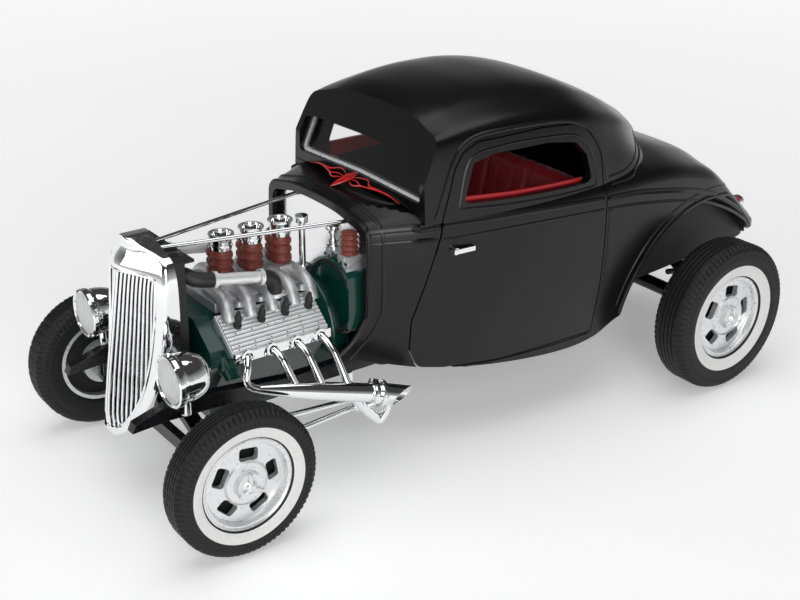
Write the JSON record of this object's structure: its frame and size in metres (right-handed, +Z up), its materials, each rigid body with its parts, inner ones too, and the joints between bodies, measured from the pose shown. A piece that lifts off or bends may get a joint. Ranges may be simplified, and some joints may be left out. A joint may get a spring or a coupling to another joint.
{
  "type": "scale model hot rod coupe",
  "caption": "Scale model of an open-engined coupe: chopped roof, slotted wheels with white sidewalls, steering, opening doors and decklid.",
  "frame": {"origin": "bottom centre of the bounding box, on the floor under the middle of the car", "axes": "+X to the car's left side, -Y forward, +Z up"},
  "size_m": [0.1036, 0.213, 0.0953],
  "materials": {
    "black_frame": "semi-gloss black",
    "black_plastic": "matt black",
    "body_paint": "satin black paint",
    "chrome": "bright chrome plating",
    "silver": "satin silver",
    "tyre": "black rubber with a white sidewall",
    "red_leather": "red",
    "clear": "clear plastic",
    "red_lens": "clear red",
    "green_paint": "gloss dark green",
    "aluminium": "cast and machined",
    "brown_rubber": "red-brown",
    "hose": "black rubber hose with a metal tube"
  },
  "bodies": {
    "chassis": {"frame_rail_left": "black_frame", "frame_rail_right": "black_frame", "crossmembers": "black_frame", "floor_pan": "black_plastic", "front_axle": "black_frame", "front_spring": "black_frame", "radius_rods": "chrome", "rear_axle": "black_frame", "rear_spring": "black_frame", "drive_shaft": "black_frame", "cowl": "body_paint", "roof": "body_paint", "rear_body": "body_paint", "trunk_floor": "black_plastic", "firewall": "chrome", "dashboard": "black_plastic", "bench_seat": "red_leather", "steering_wheel": "red_leather", "windshield_frame": "silver", "windshield_glass": "clear", "rear_glass": "clear", "tail_lights": "red_lens", "grille_shell": "chrome", "grille_bars": "chrome", "radiator": "black_frame", "support_rods": "chrome", "headlights": "chrome", "headlight_stands": "chrome", "engine_block": "green_paint", "cylinder_heads": "aluminium", "intake_manifold": "aluminium", "throttle_bodies": "brown_rubber", "intake_horns": "chrome", "fuel_pump": "chrome", "bell_housing": "green_paint", "bell_cover": "aluminium", "radiator_hoses": "hose", "header_left": "chrome", "header_right": "chrome"},
    "knuckle_left": {"knuckle_left": "black_frame"},
    "knuckle_right": {"knuckle_right": "black_frame"},
    "tie_rod": {"tie_rod": "black_frame"},
    "door_left": {"door_left": "body_paint", "door_handle_left": "chrome"},
    "door_right": {"door_right": "body_paint", "door_handle_right": "chrome"},
    "decklid": {"decklid": "body_paint"},
    "wheel_front_left": {"wheel_front_left": "silver", "tyre_front_left": "tyre"},
    "wheel_front_right": {"wheel_front_right": "silver", "tyre_front_right": "tyre"},
    "wheel_rear_left": {"wheel_rear_left": "silver", "tyre_rear_left": "tyre"},
    "wheel_rear_right": {"wheel_rear_right": "silver", "tyre_rear_right": "tyre"}
  },
  "joints": [
    {"name": "steer_left", "type": "hinge", "parent": "chassis", "child": "knuckle_left", "pos_m": [0.031, -0.0875, 0.019], "axis": [0, 0, 1], "range_deg": [-18, 18]},
    {"name": "steer_right", "type": "hinge", "parent": "chassis", "child": "knuckle_right", "pos_m": [-0.031, -0.0875, 0.019], "axis": [0, 0, 1], "range_deg": [-18, 18]},
    {"name": "tie_rod_slide", "type": "slide", "parent": "chassis", "child": "tie_rod", "axis": [1, 0, 0], "range_m": [-0.0027, 0.0027]},
    {"name": "spin_front_left", "type": "hinge", "parent": "knuckle_left", "child": "wheel_front_left", "pos_m": [0.0398, -0.0875, 0.019], "axis": [1, 0, 0], "continuous": true},
    {"name": "spin_front_right", "type": "hinge", "parent": "knuckle_right", "child": "wheel_front_right", "pos_m": [-0.0398, -0.0875, 0.019], "axis": [1, 0, 0], "continuous": true},
    {"name": "spin_rear_left", "type": "hinge", "parent": "chassis", "child": "wheel_rear_left", "pos_m": [0.046, 0.0705, 0.0223], "axis": [1, 0, 0], "continuous": true},
    {"name": "spin_rear_right", "type": "hinge", "parent": "chassis", "child": "wheel_rear_right", "pos_m": [-0.046, 0.0705, 0.0223], "axis": [1, 0, 0], "continuous": true},
    {"name": "door_hinge_left", "type": "hinge", "parent": "chassis", "child": "door_left", "pos_m": [0.0374, 0.0295, 0.05], "axis": [0, 0, 1], "range_deg": [0, 60]},
    {"name": "door_hinge_right", "type": "hinge", "parent": "chassis", "child": "door_right", "pos_m": [-0.0374, 0.0295, 0.05], "axis": [0, 0, -1], "range_deg": [0, 60]},
    {"name": "decklid_hinge", "type": "hinge", "parent": "chassis", "child": "decklid", "pos_m": [0, 0.0695, 0.06791], "axis": [1, 0, 0], "range_deg": [0, 60]}
  ],
  "couplings": [
    {"joint": "steer_right", "follows": "steer_left", "ratio": 1},
    {"joint": "tie_rod_slide", "follows": "steer_left", "m_per_rad": -0.008}
  ]
}
